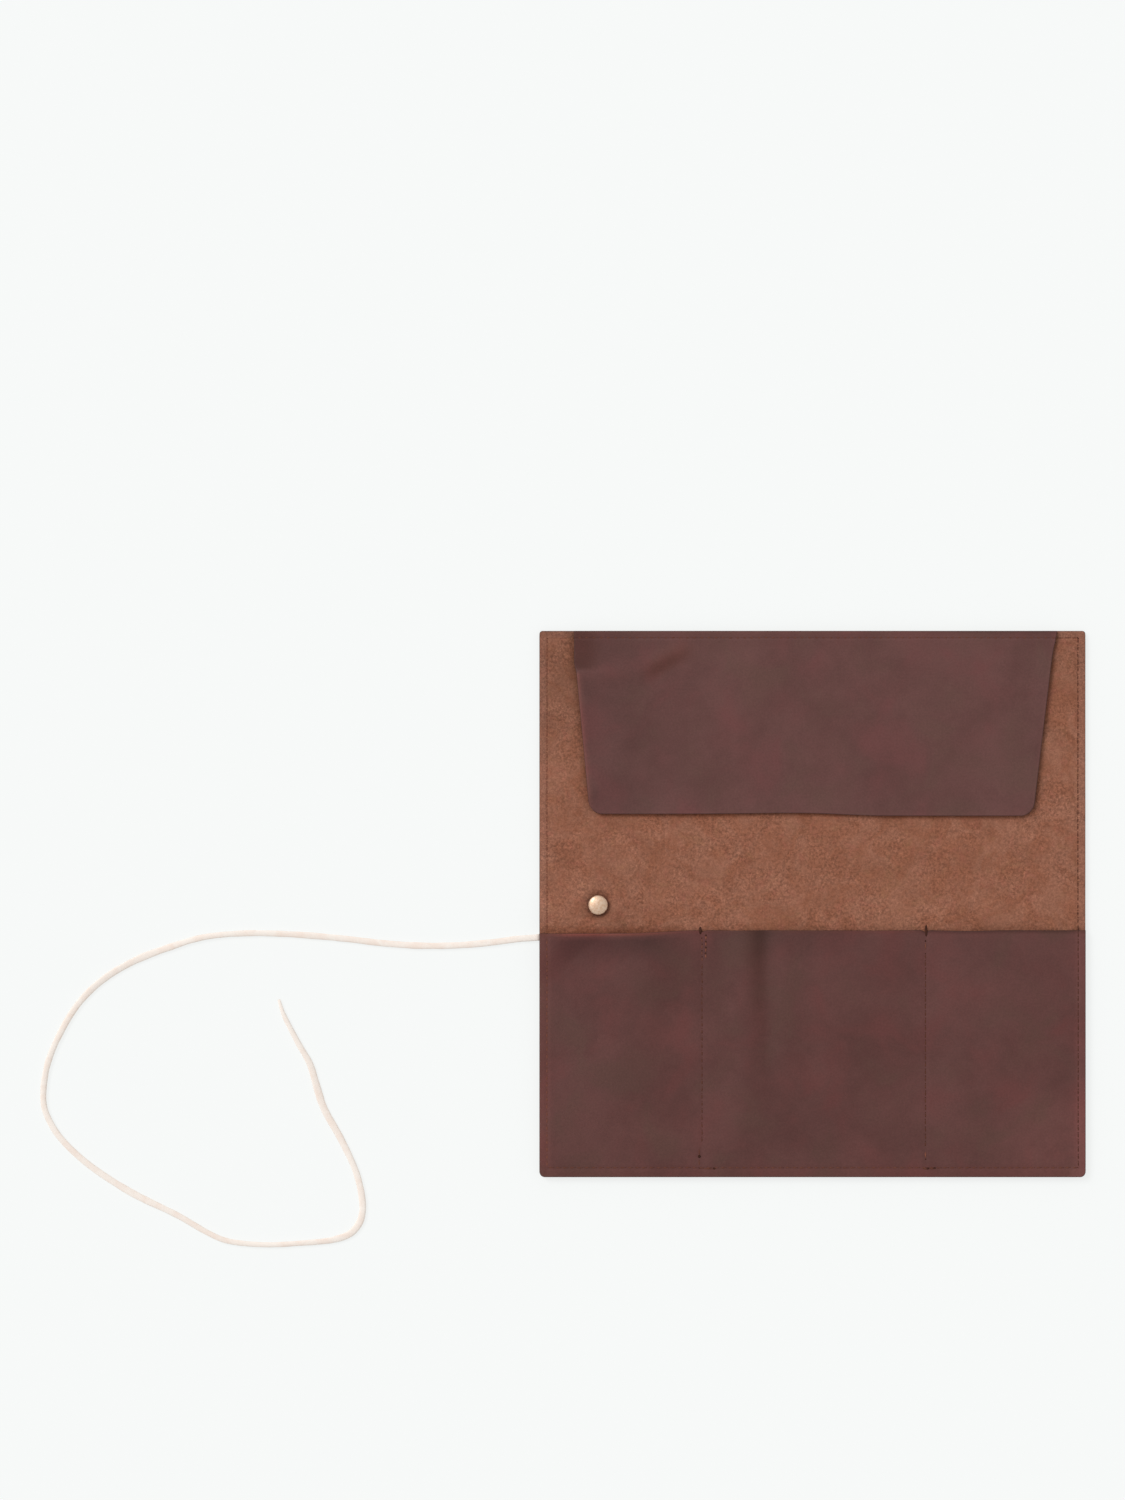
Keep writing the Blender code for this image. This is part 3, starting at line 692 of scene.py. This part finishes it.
# ----- outlines
def panel_edge_distance(x, y):
    """Return how far a point lies inside the panel's rounded outline."""
    radius = np.where(y > 0, TOP_CORNER, BOTTOM_CORNER)
    qx = np.abs(x) - (PANEL_HALF - radius)
    qy = np.abs(y) - (PANEL_HALF - radius)
    outside = np.hypot(np.maximum(qx, 0), np.maximum(qy, 0))
    return radius - outside - np.minimum(np.maximum(qx, qy), 0)


def front_edge_distance(x, y):
    """Return how far a point lies inside the pocket front's outline."""
    return np.minimum(panel_edge_distance(x, y), mouth_line(x) - y)


def flap_edge_distance(x, y):
    """Return how far a point lies inside the flap's outline."""
    left, right = flap_sides(y)
    side = np.minimum(x - left, right - x)
    end = y - flap_end_line(x)
    in_corner = (side < FLAP_CORNER) & (end < FLAP_CORNER)
    rounded = FLAP_CORNER - np.hypot(FLAP_CORNER - side, FLAP_CORNER - end)
    straight = np.minimum(np.minimum(side, end), PANEL_HALF - y)
    return np.where(in_corner, rounded, straight)


def rounding(distance, radius):
    """Return how far a rounded edge or corner falls away, at a distance inside its end."""
    reach = np.clip(radius - distance, 0, radius)
    return radius - np.sqrt(radius ** 2 - reach ** 2)


def panel_sides(y):
    """Return the panel's left and right edges with rounded corners."""
    radius = TOP_CORNER if y > 0 else BOTTOM_CORNER
    half = PANEL_HALF - rounding(PANEL_HALF - np.abs(y), radius)
    return -half, half


def rounded_flap_sides(y):
    """Return the flap's left and right edges with rounded corners."""
    left, right = flap_sides(y)
    inset = rounding(y - FLAP_END_Y, FLAP_CORNER)
    return left + inset, right - inset


# ----- building a sheet
CUTS = [(left + right) / 2 for left, right in zip(HINGE_X, HINGE_X[1:])]
EDGE_STEPS = [EDGE_ROUND * (1 - math.cos(math.pi / 2 * i / 4)) for i in range(5)] + [1.0]
FIRM_GAP = 0.4


def blend_zone(index):
    """Return where the leather starts and stops bending at a hinge."""
    x = HINGE_X[index]
    left = CUTS[index - 1] if index else RIVET_X + RIVET_RADIUS + 0.6
    right = CUTS[index] if index < len(CUTS) else (x + PANEL_HALF) / 2
    half = min(x - left, right - x, BEND_HALF)
    return x - half, x + half


def stations(low, high, wanted, firm, margin, gap):
    """Return a sheet's columns or rows, close together at its edges.

    The firm ones stay.  The wanted ones keep the margin from the edges, FIRM_GAP from the firm
    ones and gap from each other.
    """
    firm = [*firm, *[low + step for step in EDGE_STEPS], *[high - step for step in EDGE_STEPS]]
    soft = []
    for value in sorted(wanted):
        apart = not soft or value - soft[-1] > gap
        clear = min(abs(value - other) for other in firm) > FIRM_GAP
        if low + margin < value < high - margin and apart and clear:
            soft.append(value)
    return np.array(sorted([*firm, *soft]))


def sheet_columns(left, right, step):
    """Return the columns of a sheet: closer at its edges, hinges, dividers and side stitches."""
    wanted = [*np.arange(left, right, step)]
    wanted += [seam + side for seam in DIVIDER_X for side in (-1.2, 0, 1.2)]
    wanted += [sign * (SIDE_ROW + side) for sign in (-1, 1) for side in (-0.8, 0, 0.8)]
    for index in range(HINGE_COUNT):
        low, high = blend_zone(index)
        wanted += [*np.linspace(low, high, max(9, round((high - low) / 1.5)))]
    return stations(left, right, wanted, CUTS, margin=1.4, gap=0.55)


def sheet_rows(low, high, step, extra=(), gap=0.45):
    """Return the rows of a sheet: closer at its ends and at its rows of stitches."""
    wanted = [*np.arange(low, high, step), *extra]
    wanted += [row + side for row in (BOTTOM_ROW, TOP_ROW) for side in (-0.8, 0, 0.8)]
    return stations(low, high, wanted, (), margin=1.3, gap=gap)


def squeezed(columns, edges):
    """Return the columns of one row, drawn in where the sheet's edges come in."""
    left, right = columns[0], columns[-1]
    first, last = CUTS[0], CUTS[-1]
    result = columns.copy()
    near, far = columns < first, columns > last
    result[near] += (edges[0] - left) * (first - columns[near]) / (first - left)
    result[far] += (edges[1] - right) * (columns[far] - last) / (right - last)
    return result


def sheet_grid(columns, rows, sides):
    """Return the x and y of a sheet's grid, fitted to its side edges."""
    x = np.array([squeezed(columns, sides(row)) for row in rows])
    return x, np.repeat(rows[:, None], len(columns), axis=1)


def pulled(x, y, row, line, reach):
    """Return y with one end row pulled onto a line, and the rows near it less so."""
    return y + (line(x) - row) * ease(np.abs(y - row), reach, 0)


def arc_rows(arc, x):
    """Return an arc's points, given as y and z, for every column of a row's x."""
    points = [np.stack([x, np.full_like(x, y), np.full_like(x, z)], axis=-1) for y, z in arc]
    return np.array(points).reshape(-1, len(x), 3)


def loop_points(x, y, low, high, arcs):
    """Return the sheet's cross-section loop for every column: its top, then its underside."""
    before, after = arcs
    top = np.stack([x, y, high], axis=-1)
    underside = np.stack([x, y, low], axis=-1)[::-1]
    return np.concatenate([top, arc_rows(after, x[-1]), underside, arc_rows(before, x[0])])


def closed_faces(around, width, walls):
    """Return the quads that join each column of loop points to the next, and both side walls."""
    faces = []
    for r in range(around):
        following = (r + 1) % around
        for c in range(width - 1):
            a, b = r * width + c, following * width + c
            faces.append((a, a + 1, b + 1, b))
    faces += [tuple(k * width for k in wall) for wall in walls]
    faces += [tuple(k * width + width - 1 for k in reversed(wall)) for wall in walls]
    return faces


def wall_loops(rows, arcs):
    """Return the loop points that make each face of a side wall."""
    before, after = (len(arc) for arc in arcs)
    around = 2 * rows + before + after
    under = 2 * rows + after - 1
    walls = [(r, r + 1, under - r - 1, under - r) for r in range(rows - 1)]
    if after:
        walls.append((rows - 1, *range(rows, rows + after), rows + after))
    if before:
        walls.append((under, *range(around - before, around), 0))
    return walls


def whole_normals(points, walls):
    """Return the smooth normals of the undivided sheet."""
    around, columns = points.shape[:2]
    whole = bpy.data.meshes.new("whole_sheet")
    whole.from_pydata((points * MM).reshape(-1, 3).tolist(), [],
                      closed_faces(around, columns, walls))
    normals = np.zeros(points.size, np.float32)
    whole.vertex_normals.foreach_get("vector", normals)
    bpy.data.meshes.remove(whole)
    return normals.reshape(points.shape)


def plan_area(x, y):
    """Return the area of a grid seen from above."""
    ax, ay = x[1:, 1:] - x[:-1, :-1], y[1:, 1:] - y[:-1, :-1]
    bx, by = x[1:, :-1] - x[:-1, 1:], y[1:, :-1] - y[:-1, 1:]
    return float(np.abs(ax * by - ay * bx).sum() / 2)


def divided_sheet(name, x, y, surface, distance, material, arcs=((), ())):
    """Make a sheet, divided into one closed piece for each hinge.

    arcs holds the points (y, z) that close the sheet before its first row and after its last one;
    with none, that edge is cut square.
    """
    rows, columns = x.shape
    low, high, shade, warm = surface(x, y)
    depth = distance(x, y)
    fall = rounding(depth, EDGE_ROUND)
    points = loop_points(x, y, low + fall, high - fall, arcs)
    walls = wall_loops(rows, arcs)
    normals = whole_normals(points, walls)
    before, after = (len(arc) for arc in arcs)
    order = [*range(rows), *[rows - 1] * after, *reversed(range(rows)), *[0] * before]
    at_cuts = [int(np.argmin(np.abs(x[rows // 2] - cut))) for cut in CUTS]
    limits = [0, *at_cuts, columns - 1]
    pieces = []
    for index, (first, last) in enumerate(zip(limits, limits[1:])):
        part = slice(first, last + 1)
        faces = closed_faces(len(points), last - first + 1, walls)
        piece = new_object(f"{name}_{index + 1}", points[:, part].reshape(-1, 3), faces,
                           MATERIALS[material], edge=depth[order][:, part],
                           shade=shade[order][:, part], warm=warm[order][:, part])
        piece.data.normals_split_custom_set_from_vertices(
            normals[:, part].reshape(-1, 3).tolist())
        bend_at(piece)
        size = (float(np.ptp(x[:, part])), float(np.ptp(y[:, part])))
        pieces.append((piece, size, plan_area(x[:, part], y[:, part])))
    return pieces


def bend_at(piece):
    """Bake a piece's transform into its mesh."""
    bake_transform(piece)


def stand_for(pieces, nodes):
    """Hide the CAD nodes that a sheet's pieces stand in for: one each, and two for the last."""
    for index, (piece, _, _) in enumerate(pieces, start=1):
        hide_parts(f"{nodes}_{index}")
    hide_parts(f"{nodes}_{HINGE_COUNT + 1}")


def build_panel():
    """Make the outer leather, the suede lining and the pocket front."""
    half = PANEL_HALF
    rows = sheet_rows(-half, half, 5, np.arange(*DRAPE_ROWS, 2.5))
    x, y = sheet_grid(sheet_columns(-half, half, 5), rows, panel_sides)
    outer = divided_sheet("outer_leather_sheet", x, y, outer_surface, panel_edge_distance,
                          "outer")
    stand_for(outer, "outer_leather")

    columns = sheet_columns(-half, half, 2)
    x, y = sheet_grid(columns, sheet_rows(-half, half, 2.5), panel_sides)
    lining = divided_sheet("suede_lining_sheet", x, y, lining_surface, panel_edge_distance,
                           "suede")
    stand_for(lining, "suede_lining")

    rows = sheet_rows(-half, MOUTH_Y, 2, MOUTH_Y - np.arange(1, 14), gap=0.5)
    x, y = sheet_grid(columns, rows, panel_sides)
    y = pulled(x, y, MOUTH_Y, mouth_line, 30)
    front = divided_sheet("pocket_front_sheet", x, y, front_surface, front_edge_distance,
                          "pocket")
    stand_for(front, "pocket_front")


def fold_arc(direction):
    """Return the round that closes a sheet at the flap's fold, from its top to its underside."""
    radius = FOLD_Z - FLAP_BOTTOM - 0.03
    angles = np.radians(np.linspace(84, 8, 7))
    return [(FOLD_Y + direction * radius * math.sin(a), FOLD_Z - radius * math.cos(a))
            for a in angles]


def build_flap():
    """Make the flap, and its margin that is sewn to the panel."""
    columns = sheet_columns(FLAP_LEFT_X, FLAP_RIGHT_X, 1.8)
    rows = sheet_rows(FLAP_END_Y, PANEL_HALF, 2)
    rows = rows[np.abs(rows - FOLD_Y) > FIRM_GAP]
    flap_rows = np.array([*rows[rows < FOLD_Y], FOLD_Y])
    x, y = sheet_grid(columns, flap_rows, rounded_flap_sides)
    y = pulled(x, y, FLAP_END_Y, flap_end_line, 25)
    flap = divided_sheet("flap_sheet", x, y, flap_surface, flap_edge_distance, "flap",
                         ((), fold_arc(1)))
    stand_for(flap, "flap_leather")

    margin_rows = np.array([FOLD_Y, *rows[rows > FOLD_Y]])
    x, y = sheet_grid(columns, margin_rows, rounded_flap_sides)
    margin = divided_sheet("flap_margin_sheet", x, y, flap_surface, flap_edge_distance,
                           "flap", (fold_arc(-1)[::-1], ()))
    stand_for(margin, "flap_margin")


# ----- stitches
def straight(start, end, count=9):
    """Return evenly spaced points from start to end."""
    start, end = np.array(start), np.array(end)
    return start + (end - start) * np.linspace(0, 1, count)[:, None]


def thread_shape(path, radius):
    """Return a thread that dips into the leather at both ends of its path, and its shades: painted
    shade that darkens it towards both ends.
    """
    path = np.array(path)
    along = path[-1] - path[0]
    across = np.cross([0, 0, 1.0], along / np.linalg.norm(along))
    across /= np.linalg.norm(across)
    vertices, shades = [], []
    rings, sides = len(path), 8
    for i, point in enumerate(path):
        arch = math.sin(math.pi * i / (rings - 1))
        girth = radius * (THREAD_END_GIRTH + (1 - THREAD_END_GIRTH) * arch)
        centre = point + (0, 0, radius * (arch - THREAD_SINK))
        # Painted shade, darkest where the thread goes into the leather.
        shades += [0.3 + 0.7 * arch ** 0.7] * sides
        for k in range(sides):
            angle = 2 * math.pi * k / sides
            up = 0.8 * math.sin(angle)
            vertices.append(centre + girth * (across * math.cos(angle) + (0, 0, up)))
    return vertices, ring_faces(rings, sides), shades


def pricked_hole(centre, radius, tone):
    """Return the dark mouth of a needle hole: a thin lens on the leather, coloured with painted
    shade.
    """
    sides = 8
    centre = np.array(centre)
    vertices = [centre + (0, 0, 0.12), centre - (0, 0, 0.1)]
    for k in range(sides):
        angle = 2 * math.pi * k / sides
        vertices.append(centre + (radius * math.cos(angle), radius * math.sin(angle), 0))
    faces = []
    for k in range(sides):
        a, b = 2 + k, 2 + (k + 1) % sides
        faces += [(0, a, b), (1, b, a)]
    return vertices, faces, [tone] * len(vertices)


def stitch_group(name, paths, tone=1.0, hole=0.42, hole_shade=0.5, radius=THREAD_RADIUS):
    """Join stitches, each given by its path, into one mesh with the holes that they end in, dark
    with painted shade.
    """
    vertices, faces, shades = [], [], []
    for path in paths:
        points, quads, values = thread_shape(path, radius)
        shapes = [(points, quads, [value * tone for value in values])]
        if hole:
            beyond = path[-1] + (path[-1] - path[0]) * 0.06
            shapes.append(pricked_hole(beyond, hole, hole_shade))
        for points, quads, values in shapes:
            base = len(vertices)
            vertices += points
            shades += values
            faces += [tuple(v + base for v in f) for f in quads]
    piece = new_object(name, vertices, faces, MATERIALS["thread"], shade=shades,
                       warm=[0.8] * len(shades))
    face_outwards(piece)
    return piece


def top_surface(x, y):
    """Return the height of the upper face of the uppermost sheet at a point."""
    x, y = np.array([x]), np.array([y])
    left, right = flap_sides(y)
    surface = front_surface if y < mouth_line(x) else lining_surface
    if y > FLAP_END_Y and left < x < right:
        surface = flap_surface
    return float(surface(x, y)[1][0])


def stitch_row(start, end, pitch=STITCH_PITCH, seed=0):
    """Return the paths of the stitches along a straight row, each a little off its line."""
    random = np.random.default_rng(seed)
    start, end = np.array(start, float), np.array(end, float)
    length = np.linalg.norm(end - start)
    normal = np.array([start[1] - end[1], end[0] - start[0]]) / length
    count = max(1, round(length / pitch))
    step = (end - start) / count
    stitches = []
    for i in range(count):
        off = normal * random.uniform(-1, 1, 2)[:, None] * THREAD_WANDER
        jitter = random.uniform(-STITCH_JITTER, STITCH_JITTER, 2)
        first = start + step * (i + STITCH_GAP + jitter[0]) + off[0]
        last = start + step * (i + 1 - STITCH_GAP + jitter[1]) + off[1]
        stitches.append(straight((*first, top_surface(*first)), (*last, top_surface(*last))))
    return stitches


def divide_stitches(stitches):
    """Sort stitches by the sheet division that they lie on."""
    groups = [[] for _ in range(HINGE_COUNT)]
    for stitch in stitches:
        middle = (stitch[0][0] + stitch[-1][0]) / 2
        groups[sum(middle > cut for cut in CUTS)].append(stitch)
    return groups


def build_edge_stitches():
    """Make the rows of stitches round the panel's edge."""
    bottom = stitch_row((-SIDE_ROW, BOTTOM_ROW), (SIDE_ROW, BOTTOM_ROW), seed=1)
    top = stitch_row((FLAP_LEFT_X, TOP_ROW), (SIDE_ROW, TOP_ROW), seed=2)
    for name, row in (("bottom", bottom), ("top", top)):
        for index, group in enumerate(divide_stitches(row)):
            piece = stitch_group(f"{name}_stitches_{index + 1}", group, hole=0.34, hole_shade=0.65)
            bend_at(piece)
            if name == "bottom":
                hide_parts(f"bottom_stitching_{index + 1}")
                if index == HINGE_COUNT - 1:
                    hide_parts(f"bottom_stitching_{index + 2}")
    for side, x, body, tone in (("left", -SIDE_ROW, "panel_1", 1.35),
                                ("right", SIDE_ROW, f"panel_{HINGE_COUNT + 1}", 0.62)):
        row = stitch_row((x, BOTTOM_ROW), (x, TOP_ROW), seed=3)
        piece = stitch_group(f"{side}_stitches", row, tone, 0.42, 0.7 * tone)
        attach(piece, body)
        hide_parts(f"{side}_side_stitching")


def mouth_at(x):
    """Return the mouth's y at one place."""
    return float(mouth_line(np.array([x]))[0])


def over_lip(x, below, above):
    """Return the path of a knot that wraps over the pocket's mouth, from below it to above it."""
    knot_reach = 0.8
    return [(x, y, max(top_surface(x, y), top_surface(x, y - knot_reach)))
            for y in np.linspace(mouth_at(x) - below, mouth_at(x) + above, 17)]


def upright(x, low, high, pitch, seed):
    """Return an upright row of stitches."""
    return stitch_row((x, low), (x, high), pitch, seed)


def left_divider_rows(x, mouth, foot):
    """Return the left divider's rows: sewn back twice at the mouth, and hooked at the bottom."""
    middle = upright(x, foot + 12, mouth - 15, STITCH_PITCH, 5)
    firm = upright(x, mouth - 14.5, mouth - 2.8, 2.9, 6)
    back = upright(x + 1.8, mouth - 13, mouth - 1.4, 2.9, 8)
    hook = upright(x - 1.4, foot + 10.6, foot, 5.3, 7)
    hook += stitch_row((x - 1.4, foot), (x + 6.2, foot), 7.6, 9)
    return middle, firm, back, hook, [over_lip(x - 0.8, 1.8, 2.6)]


def right_divider_rows(x, mouth, foot):
    """Return the right divider's rows: long firm stitches at the mouth and at the bottom."""
    middle = upright(x, foot + 10, mouth - 10, STITCH_PITCH, 5)
    firm = upright(x, mouth - 9.5, mouth - 3.8, 5.7, 6)
    back = upright(x, foot + 9, foot + 4.4, 4.6, 8)
    hook = stitch_row((x - 1.6, foot), (x + 4.4, foot), 3, 9)
    return middle, firm, back, hook, [over_lip(x + 0.4, 3, 3.8)]


# Each row's name, tone, hole radius and hole shade (painted shade in the hole), and the radius of a
# thicker thread.
DIVIDER_LOOKS = (
    ("divider_stitches", 0.75, 0.4, 0.55),
    ("divider_ends", 1.2, 0.6, 0.4),
    ("divider_backstitch", 1.5, 0.5, 0.5, 0.34),
    ("divider_foot", 0.95, 0.75, 0.4),
    ("mouth_knot", 0.42, 0, 0, 0.6),
)


def build_divider_stitches():
    """Make the dividers' stitches: faint between, and sewn firmly at the mouth and bottom."""
    for side, x, divider_rows in zip(("left", "right"), DIVIDER_X,
                                     (left_divider_rows, right_divider_rows)):
        rows = divider_rows(x, mouth_at(x), BOTTOM_ROW - 0.5)
        for row, (name, *look) in zip(rows, DIVIDER_LOOKS):
            piece = stitch_group(f"{side}_{name}", row, *look)
            bend_at(piece)
            if name == "divider_stitches":
                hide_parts(f"{side}_divider_stitching")


# ----- rivet
def build_rivet():
    """Make the rivet's domed cap, turned about its axis."""
    height = RIVET_HIGH - RIVET_LOW
    rim, tuck = 0.28 * height, 0.35
    dome_steps, rim_steps, segments = 14, 5, 72
    profile = []
    for angle in np.linspace(0, math.pi / 2, dome_steps + 1)[1:]:
        profile.append((RIVET_RADIUS * math.sin(angle),
                        RIVET_LOW + rim + (height - rim) * max(math.cos(angle), 0) ** 0.9))
    for angle in np.linspace(0, math.pi / 2, rim_steps + 1)[1:]:
        profile.append((RIVET_RADIUS - tuck * (1 - math.cos(angle)),
                        RIVET_LOW + rim - rim * math.sin(angle)))
    angles = [2 * math.pi * k / segments for k in range(segments)]
    vertices = [(RIVET_X + radius * math.cos(a), RIVET_Y + radius * math.sin(a), z)
                for radius, z in profile for a in angles]
    faces = ring_faces(len(profile), segments)[:-2]
    tip, base = len(vertices), len(vertices) + 1
    vertices += [(RIVET_X, RIVET_Y, RIVET_HIGH), (RIVET_X, RIVET_Y, RIVET_LOW)]
    last_ring = (len(profile) - 1) * segments
    for k in range(segments):
        following = (k + 1) % segments
        faces.append((tip, k, following))
        faces.append((base, last_ring + following, last_ring + k))
    cap = new_object("rivet_dome", vertices, faces, MATERIALS["brass"])
    face_outwards(cap)
    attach(cap, "panel_1")
    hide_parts("rivet_cap")
    for node, material in (("rivet_post", "brass"), ("tie_lace_end", "lace")):
        mesh = frame["nodes"][node].data
        mesh.materials.clear()
        mesh.materials.append(MATERIALS[material])


# ----- floor and light
def build_floor():
    """Make a plain pale floor that glows a little, as a light table does."""
    corners = [(x * FLOOR_HALF, y * FLOOR_HALF, -TOUCH)
               for x, y in ((-1, -1), (1, -1), (1, 1), (-1, 1))]
    glow = {"Base Color": FLOOR_COLOUR, "Emission Color": FLOOR_COLOUR,
            "Emission Strength": FLOOR_GLOW}
    look = Look("pale_floor", 0.9, 0.0, glow)
    new_object("floor", corners, [(0, 1, 2, 3)], look.material)


def build_light():
    """Make a soft light from the upper left and an even pale sky."""
    light_data = bpy.data.lights.new("soft_light", "SUN")
    light_data.energy = LIGHT_STRENGTH
    light_data.angle = LIGHT_SPREAD
    light = bpy.data.objects.new("soft_light", light_data)
    light.rotation_euler = Vector(LIGHT_FROM).to_track_quat("Z", "Y").to_euler()
    scene.collection.objects.link(light)
    world = bpy.data.worlds.new("sky")
    scene.world = world
    world.use_nodes = True
    background = world.node_tree.nodes["Background"]
    background.inputs["Color"].default_value = (1, 1, 1, 1)
    background.inputs["Strength"].default_value = SKY_STRENGTH
    scene.view_settings.view_transform = "Standard"


build_lace()
build_panel()
build_flap()
build_edge_stitches()
build_divider_stitches()
build_rivet()
build_floor()
build_light()
